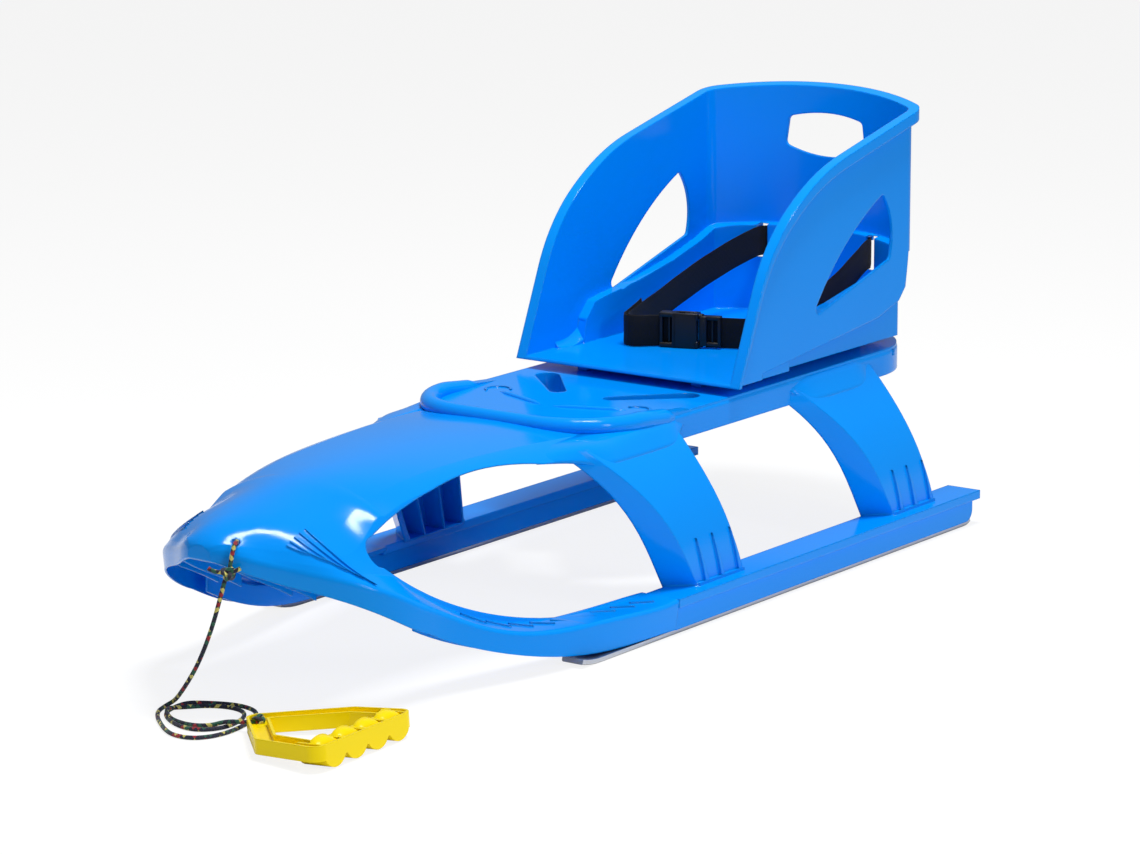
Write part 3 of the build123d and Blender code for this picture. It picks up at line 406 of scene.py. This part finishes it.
housing_bars = [
    ((0, -6, 11), (15, 6, 15), 1.4), ((0, -6, -15), (15, 6, -11), 1.4),
    ((0, -5, -14), (3.6, 5, 14), 1.4), ((8.5, -3, -14), (11, 3, 14), 1.0),
    ((14, -7, -15), (38.5, -4, 15), 1.3), ((14, 4, -15), (38.5, 7, 15), 1.3),
    ((13, -7, -15), (18.5, 7, 15), 1.6), ((35, -7, 9), (39.8, 7, 15), 1.5),
    ((35, -7, -15), (39.8, 7, -9), 1.5), ((18, -6, -9), (39, 6, 9), 1.2),
    ((21, 6.6, -8), (36, 7.3, 8), 0.3),
]
tongue_bars = [
    ((24, -3.6, 10.2), (44, 3.6, 14.2), 1.5), ((24, -3.6, -14.2), (44, 3.6, -10.2), 1.5),
    ((40.2, -5, -13), (48, 5, 13), 1.8), ((47, -4, 9.5), (62, 4, 13), 1.2),
    ((47, -4, -13), (62, 4, -9.5), 1.2), ((58.5, -4, -12), (62, 4, 12), 1.2),
    ((52, -2.4, -11), (54.4, 2.4, 11), 0.9), ((43, -5.4, -9), (45.6, 5.4, 9), 0.8),
]
bars_piece("buckle_sleeve", housing_bars, "buckle_housing")
bars_piece("buckle_prongs", tongue_bars, "buckle_tongue")

# %% [markdown]
# Where a leg meets the deck the moulding has no corner: its top swells out of the deck's wall
# and rolls over onto the leg. The CAD's mesh stays as it is, so each shoulder is a curved sheet
# laid over it, in cross-sections along the sled. A section starts on the deck or the bonnet,
# heads for a guide point and lands on the leg's side. Smooth lines join the sections.

# %% Shoulders over the legs
sheet_thick, section_steps, station_steps = 0.0025, 10, 5


def section_ring(start, guide, end):
    """A closed cross-section: a cubic curve on top and the same curve, one sheet lower."""
    curve = []
    for i in range(section_steps + 1):
        t = i / section_steps
        curve.append(start * (1 - t) ** 3 + guide * (3 * t * (1 - t)) + end * t**3)
    under = []
    for place, way in zip(curve, ways_of(curve)):
        under.append(place + Vector((way.z, 0, -way.x)) * sheet_thick)
    return curve + under[::-1]


def shoulder(name, stations):
    """A sheet on both sides of the sled through sections given as y and three (x, z), in mm."""
    sections = []
    for y, *corners in stations:
        start, guide, end = (Vector((x, y, z)) / 1000 for x, z in corners)
        sections.append(section_ring(start, guide, end))
    lines = [smooth_line(list(row), steps=station_steps) for row in zip(*sections)]
    for side, mirrored in (("left", 1), ("right", -1)):
        work = bmesh.new()
        rings = []
        for row in zip(*lines):
            rings.append(([work.verts.new((mirrored * p.x, p.y, p.z)) for p in row], row[0].y))
        skin(work, rings)
        as_piece(name + "_" + side, work, "sled")


front_stations = [
    (-160, (99, 182.6), (104, 180.6), (108.5, 177.6)),
    (-144, (98, 186.0), (109, 182.0), (114.6, 175.6)),
    (-128, (96, 187.6), (114, 184.2), (120.5, 173.4)),
    (-116, (95, 188.0), (119, 185.2), (126.0, 171.2)),
    (-104, (94, 188.2), (124, 185.8), (132.5, 168.2)),
    (-92, (94, 188.2), (128, 186.0), (139.0, 165.4)),
    (-78, (94, 188.0), (130, 186.0), (141.8, 163.6)),
    (-66, (98, 188.0), (130, 186.0), (141.8, 163.6)),
    (-55, (107, 188.6), (130, 186.0), (141.8, 163.6)),
    (-42, (115, 189.2), (130, 186.0), (141.8, 163.6)),
    (-26, (121, 189.4), (130, 186.0), (141.8, 163.6)),
    (-8, (123.8, 189.4), (130, 186.0), (141.8, 163.6)),
    (14, (124, 189.4), (130, 185.6), (141.8, 163.6)),
    (28, (124, 189.2), (129.6, 185.0), (140.4, 164.6)),
    (38, (124, 188.4), (128.6, 183.0), (136.4, 168.0)),
    (46, (124, 187.0), (127.0, 180.0), (130.0, 173.0)),
    (54, (124, 185.4), (125.8, 180.0), (126.4, 176.0)),
    (60, (124, 183.4), (125.2, 181.0), (125.4, 179.0)),
]
rear_stations = [
    (246, (124, 182.0), (125.2, 181.0), (125.6, 179.0)),
    (254, (124, 185.0), (126.6, 180.0), (130.0, 173.0)),
    (262, (124, 187.0), (128.6, 182.0), (136.4, 168.2)),
    (272, (124, 188.6), (129.8, 184.4), (140.6, 164.4)),
    (290, (124, 189.2), (130, 185.4), (141.8, 163.6)),
    (340, (124, 189.2), (130, 185.4), (141.8, 163.6)),
    (366, (124, 189.2), (129.8, 185.0), (141.6, 163.6)),
    (378, (124, 188.6), (129, 183.4), (138.4, 166.2)),
    (388, (124, 187.0), (127.4, 180.4), (131.4, 172.0)),
    (398, (124, 185.0), (125.8, 179.6), (126.6, 176.0)),
    (406, (124, 183.0), (125.2, 181.0), (125.4, 179.0)),
]
shoulder("front_shoulder", front_stations)
shoulder("rear_shoulder", rear_stations)

# %% [markdown]
# The deck's front edge is a fat round bead. It is highest across the front, comes round both
# corners and sinks into the deck's sides behind them. On the deck behind it two slim ribs run
# outwards and back in a shallow V, as stiffening. In CAD all would be swept profiles. The rope's
# tube helper does the same here, with ends that taper into the deck.

# %% Front bead and deck ribs
bead_thick, bead_height, bead_taper = 0.0185, 0.1925, 0.05
bead_centre, bead_turn, corner_steps = (0.044, -0.0065), 0.076, 8
half_bead = [(0.0, -0.0825, bead_height), (0.022, -0.0825, bead_height)]
for step in range(corner_steps + 1):
    angle = radians(90 - step * 90 / corner_steps)
    x, y = bead_centre[0] + bead_turn * cos(angle), bead_centre[1] - bead_turn * sin(angle)
    half_bead.append((x, y, bead_height))
half_bead += [
    (0.120, 0.012, 0.1902), (0.1195, 0.032, 0.1880), (0.118, 0.052, 0.1855),
    (0.115, 0.072, 0.1830),
]
bead_points = [(-x, y, z) for x, y, z in half_bead[:0:-1]] + half_bead
bead_work = bmesh.new()
add_tube(bead_work, smooth_line(bead_points), bead_thick, sides=24, slim_ends=bead_taper)
as_piece("front_bead", bead_work, "sled")
rib_thick, rib_height, rib_taper = 0.006, 0.1905, 0.015
rib_points = ((0.006, 0.002), (0.040, 0.014), (0.078, 0.029))
rib_work = bmesh.new()
for mirrored in (1, -1):
    rib_line = smooth_line([(mirrored * x, y, rib_height) for x, y in rib_points])
    add_tube(rib_work, rib_line, rib_thick, slim_ends=rib_taper)
as_piece("deck_ribs", rib_work, "sled")

# %% [markdown]
# Inside the seat's front corners the pan turns up into the wings. A short curved gusset fills
# each corner between the pan, the wing and the front of the inner tub. It could be cut from a
# block, but one section is enough: it is repeated along the corner, and its upper points rise
# towards the tub.

# %% Seat corner gussets
# Section: x and z in mm, and the share of the rise that the point takes
gusset_section = [
    (116.5, 200.4, 0), (116.5, 203.3, 0.5), (119.5, 203.7, 0.8), (122.5, 205.0, 1),
    (125.0, 207.4, 1), (126.6, 211.0, 0.9), (128.4, 211.0, 0.9), (128.4, 200.4, 0),
]
# Stations along the corner: y and rise, in mm
gusset_stations = [(189, 0), (200, 0), (212, 2), (222, 6), (230, 11), (242, 13)]
for side, mirrored in (("left", 1), ("right", -1)):
    gusset_work = bmesh.new()
    rings = []
    for y, rise in gusset_stations:
        ring = []
        for x, z, share in gusset_section:
            place = (mirrored * x / 1000, y / 1000, (z + rise * share) / 1000)
            ring.append(gusset_work.verts.new(place))
        rings.append((ring, y / 1000))
    skin(gusset_work, rings)
    as_piece("seat_gusset_" + side, gusset_work, "seat", sharp=True)

# %% [markdown]
# Shader nodes are easier to read as sums. This small class wraps a socket, so that a * b + 1
# and 1 - a add the Math nodes, and one method adds any other node by its type.

# %% Node helper


class Socket:
    """A number from a node, with arithmetic that adds Math nodes."""

    def __init__(self, tree, socket):
        self.tree, self.socket = tree, socket

    def node(self, kind, settings=None, **inputs):
        """Adds a node: its settings first, then the values or links of its sockets.

        A socket goes by its name, with _ for a space, or by its number, as i0, i1 and so on.
        """
        made = self.tree.nodes.new(kind)
        for key, value in (settings or {}).items():
            if key == "stops":
                stops = made.color_ramp.elements
                stops[0].position, stops[1].position = value[0][0], value[-1][0]
                for place, _ in value[1:-1]:
                    stops.new(place)
                for stop, (_, colour) in zip(stops, value):
                    stop.color = colour
            else:
                setattr(made, key, value)
        for key, value in inputs.items():
            numbered = key[1:].isdigit()
            target = made.inputs[int(key[1:]) if numbered else key.replace("_", " ")]
            if isinstance(value, Socket):
                self.tree.links.new(value.socket, target)
            else:
                target.default_value = value
        return made

    def out(self, made, name=0):
        """One output of a node, ready for more arithmetic."""
        return Socket(self.tree, made.outputs[name])

    def maths(self, operation, other=0.0, first=None):
        """A Math node on this number and another one. Where first is given, it comes first."""
        left, right = (self, other) if first is None else (first, self)
        return self.out(self.node("ShaderNodeMath", {"operation": operation}, i0=left, i1=right))

    def __add__(self, other):
        return self.maths("ADD", other)

    def __sub__(self, other):
        return self.maths("SUBTRACT", other)

    def __rsub__(self, other):
        return self.maths("SUBTRACT", first=other)

    def __mul__(self, other):
        return self.maths("MULTIPLY", other)

    def __truediv__(self, other):
        return self.maths("DIVIDE", other)

    def __rtruediv__(self, other):
        return self.maths("DIVIDE", first=other)

    __radd__, __rmul__ = __add__, __mul__


def material(name, colour, roughness, metallic=0.0, **constants):
    """A new material, its Principled shader, and its Object and UV coordinates as Sockets."""
    made = bpy.data.materials.new(name)
    made.use_nodes = True
    tree = made.node_tree
    shader = tree.nodes["Principled BSDF"]
    shader.inputs["Base Color"].default_value = (*colour, 1)
    shader.inputs["Roughness"].default_value = roughness
    shader.inputs["Metallic"].default_value = metallic
    for key, value in constants.items():
        shader.inputs[key.replace("_", " ")].default_value = value
    coordinates = tree.nodes.new("ShaderNodeTexCoord")
    places = [Socket(tree, coordinates.outputs[kind]) for kind in ("Object", "UV")]
    return made, shader, *places


def wire(value, target, name):
    """Links a Socket to an input of a node."""
    value.tree.links.new(value.socket, target.inputs[name])


def bump(height, shader, strength, distance, edge_radius=0.0):
    """Bumps a surface. With an edge radius its edges also catch the light as if rounded."""
    made = height.node("ShaderNodeBump", None, Strength=strength, Distance=distance, Height=height)
    if edge_radius:
        rounded = height.node("ShaderNodeBevel", {"samples": 6}, Radius=edge_radius)
        wire(height.out(rounded), made, "Normal")
    wire(height.out(made), shader, "Normal")


# %% [markdown]
# The sled and the seat are injection-moulded polypropylene: a deep even blue that glows where
# light falls on it, with a soft gloss. Up close the skin is not a mirror. It has a faint orange
# peel from the mould, and its polish changes slowly from place to place. An even value would
# look too clean, so two noises do that: a broad one for the polish and a fine one for the peel.
# A moulding has no knife edges either, so the Bevel node softens them in the light.

# %% Moulded plastics
polish_change = 0.12


def moulded(name, colour, deep, roughness, edge_radius):
    """Glossy moulded plastic with slow changes of tone and polish, and a faint orange peel."""
    made, shader, place, _ = material(name, colour, roughness, Specular_IOR_Level=0.15)
    broad = place.node("ShaderNodeTexNoise", None, Vector=place, Scale=7.0, Detail=3.0)
    cloud = place.out(broad, "Fac")
    tone = place.node("ShaderNodeMix", {"data_type": "RGBA"},
                      i0=cloud, i6=(*deep, 1), i7=(*colour, 1))
    wire(place.out(tone, 2), shader, "Base Color")
    wire(cloud * polish_change + (roughness - polish_change / 2), shader, "Roughness")
    peel = place.node("ShaderNodeTexNoise", None, Vector=place, Scale=420.0, Detail=2.0)
    bump(place.out(peel, "Fac"), shader, 0.05, 0.0004, edge_radius)
    return made


blue = moulded("blue_polypropylene", (0.0, 0.30, 0.96), (0.0, 0.275, 0.92), 0.13, 0.0025)
yellow = moulded("yellow_polypropylene", (1.0, 0.80, 0.0), (1.0, 0.75, 0.0), 0.26, 0.001)

# %% [markdown]
# The strips under the runners are plain mild steel, rolled and then polished by snow and grit,
# so their scratches run along the sled. An even noise would look like cast metal, and a noise
# stretched along Y gives the grain.

# %% Steel
steel, steel_shader, place, _ = material("rolled_steel", (0.52, 0.53, 0.55), 0.3, metallic=1.0)
grain_map = place.node("ShaderNodeMapping", None, Vector=place, Scale=(1.0, 0.02, 1.0))
stretched = place.out(grain_map)
grain_noise = place.node("ShaderNodeTexNoise", None, Vector=stretched, Scale=900.0, Detail=3.0)
grain = place.out(grain_noise, "Fac")
wire(grain * 0.3 + 0.2, steel_shader, "Roughness")
bump(grain, steel_shader, 0.15, 0.0003)

# %% [markdown]
# The rope's braid has dark blue carriers with flecks of yellow, red and green. On a braid each
# carrier shows as a short slanted stitch. Strands could be modelled one by one, but at 4 mm they
# are finer than the picture shows. So the pattern is a grid turned by a helix: one number counts
# stitches one way round, one the other way, and a noise of the cell's own number picks the fleck.

# %% Braided rope
stitch_length, stitches_round = 0.0046, 2.0
# Each colour starts at its share of the stitches: dark blue, yellow, red, green
fleck_stops = [
    (0.0, (0.005, 0.007, 0.03, 1)), (0.60, (0.62, 0.56, 0.14, 1)),
    (0.74, (0.32, 0.010, 0.02, 1)), (0.85, (0.01, 0.10, 0.06, 1)),
]
rope_look, rope_shader, _, along = material("braided_rope", (0.01, 0.012, 0.03), 0.75,
                                            Sheen_Weight=0.25)
split = along.node("ShaderNodeSeparateXYZ", None, Vector=along)
u, v = along.out(split, "X") / stitch_length, along.out(split, "Y")
right_hand, left_hand = u + v * stitches_round, u - v * stitches_round
cell = along.node("ShaderNodeCombineXYZ", None, X=right_hand.maths("FLOOR"),
                  Y=left_hand.maths("FLOOR"))
cell_noise = along.node("ShaderNodeTexWhiteNoise", {"noise_dimensions": "2D"},
                        Vector=along.out(cell))
fleck = along.node("ShaderNodeValToRGB", {"stops": fleck_stops}, Fac=along.out(cell_noise, "Value"))
fleck.color_ramp.interpolation = "CONSTANT"
wire(along.out(fleck, "Color"), rope_shader, "Base Color")
stitch = (right_hand * (2 * pi)).maths("SINE") * (left_hand * (2 * pi)).maths("SINE")
bump(stitch, rope_shader, 0.5, 0.0004)

# %% [markdown]
# The belt is black polypropylene webbing. Its weave is a fine twill: ribs across the strap,
# crossed by threads along it. Two sine waves on the UV map give both, and follow the strap round
# its bends as Object coordinates could not. The buckle is a harder plastic with a fine
# spark-eroded grain.

# %% Webbing and buckle
rib_pitch, thread_pitch = 0.0016, 0.0022
webbing, web_shader, _, along = material("black_webbing", (0.006, 0.006, 0.007), 0.75,
                                         Sheen_Weight=0.05, Specular_IOR_Level=0.2)
split = along.node("ShaderNodeSeparateXYZ", None, Vector=along)
u, v = along.out(split, "X"), along.out(split, "Y")
rib = (u * (2 * pi / rib_pitch)).maths("SINE")
thread = ((v * 2 * belt_width + u * 0.5) * (2 * pi / thread_pitch)).maths("SINE")
weave = rib * thread * 0.5 + 0.5
wire(weave * 0.2 + 0.6, web_shader, "Roughness")
bump(weave, web_shader, 0.5, 0.0004)
buckle_plastic, buckle_shader, place, _ = material("buckle_plastic", (0.007, 0.007, 0.008), 0.4,
                                                   Specular_IOR_Level=0.4)
spark_noise = place.node("ShaderNodeTexNoise", None, Vector=place, Scale=1500.0, Detail=2.0)
spark = place.out(spark_noise, "Fac")
wire(spark * 0.16 + 0.32, buckle_shader, "Roughness")
bump(spark, buckle_shader, 0.12, 0.0002)

# %% [markdown]
# Now every piece gets its finish. A CAD node's mesh is never touched: its material slots take
# the new material. The new pieces have no slots yet, so the material is appended. Two tables by
# name do it in one place, where the whole sled's materials can be read together.

# %% Finishes
node_finishes = {
    "sled_body": blue, "seat_shell": blue, "pull_handle": yellow,
    "runner_strip_left": steel, "runner_strip_right": steel,
}
for name, look in node_finishes.items():
    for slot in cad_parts[name].material_slots:
        slot.material = look
piece_finishes = {
    "rope_through_nose": rope_look, "rope_free_run": rope_look, "rope_nose_knot": rope_look,
    "rope_grip_knot": rope_look, "strap_far": webbing, "strap_near": webbing,
    "strap_tail": webbing, "buckle_sleeve": buckle_plastic, "buckle_prongs": buckle_plastic,
    "front_bead": blue, "deck_ribs": blue, "grip_humps": yellow,
}
for name in ("front_shoulder", "rear_shoulder", "seat_gusset"):
    for side in ("_left", "_right"):
        piece_finishes[name + side] = blue
for name, look in piece_finishes.items():
    bpy.data.objects[name].data.materials.append(look)
print("finished", len(node_finishes), "CAD nodes and", len(piece_finishes), "new pieces")

# %% [markdown]
# The picture has no studio to be seen: a white floor that runs out of sight and light from all
# round. A pale world gives the even light. Two lamps add the highlights: one is nearly straight
# above, and a weaker one is to the left, on the near side. More light would turn the floor
# white, but would also bleach the blue. So the floor and the world are white only to the
# camera: the Light Path node tells its rays from all others.

# %% Floor, world and lamps
floor_reach, floor_grey, floor_white, floor_glow = 30, 0.9, 1.06, 0.8
room_light = 0.28
floor_work = bmesh.new()
bmesh.ops.create_grid(floor_work, x_segments=1, y_segments=1, size=floor_reach)
floor_mesh = bpy.data.meshes.new("floor")
floor_work.to_mesh(floor_mesh)
floor_work.free()
floor = bpy.data.objects.new("floor", floor_mesh)
scene.collection.objects.link(floor)


def camera_sees(tree):
    """One for what the camera sees, nought for all other light."""
    rays = tree.nodes.new("ShaderNodeLightPath")
    return Socket(tree, rays.outputs["Is Camera Ray"])


floor_look = bpy.data.materials.new("pale_floor")
floor_look.use_nodes = True
floor_tree = floor_look.node_tree
floor_shader = floor_tree.nodes["Principled BSDF"]
floor_shader.inputs["Base Color"].default_value = (floor_grey, floor_grey, floor_grey, 1)
floor_shader.inputs["Roughness"].default_value = 0.9
floor_shader.inputs["Specular IOR Level"].default_value = 0.1
white = floor_tree.nodes.new("ShaderNodeEmission")
white.inputs["Strength"].default_value = floor_white
blend = floor_tree.nodes.new("ShaderNodeMixShader")
wire(camera_sees(floor_tree) * floor_glow, blend, 0)
floor_tree.links.new(floor_shader.outputs[0], blend.inputs[1])
floor_tree.links.new(white.outputs[0], blend.inputs[2])
floor_tree.links.new(blend.outputs[0], floor_tree.nodes["Material Output"].inputs["Surface"])
floor_mesh.materials.append(floor_look)

world = bpy.data.worlds.new("studio")
world.use_nodes = True
scene.world = world
background = world.node_tree.nodes["Background"]
background.inputs["Color"].default_value = (1, 1, 1, 1)
wire(camera_sees(world.node_tree) * (1 - room_light) + room_light, background, "Strength")


def soft_lamp(name, place, target, size, power):
    """A rectangular area lamp at a place, aimed at a target, in metres and watts."""
    data = bpy.data.lights.new(name, "AREA")
    data.shape = "RECTANGLE"
    data.size, data.size_y = size
    data.energy = power
    lamp = bpy.data.objects.new(name, data)
    scene.collection.objects.link(lamp)
    way = Vector(target) - Vector(place)
    turn = way.to_track_quat("-Z", "Y").to_matrix().to_4x4()
    lamp.matrix_world = Matrix.Translation(place) @ turn


soft_lamp("overhead", place=(0.3, 0.1, 2.7), target=(0, 0, 0.1), size=(0.4, 0.8), power=60)
soft_lamp("left_window", place=(2.7, -0.7, 1.3), target=(0, 0, 0.2), size=(0.4, 0.9), power=18)
scene.view_settings.view_transform = "Standard"
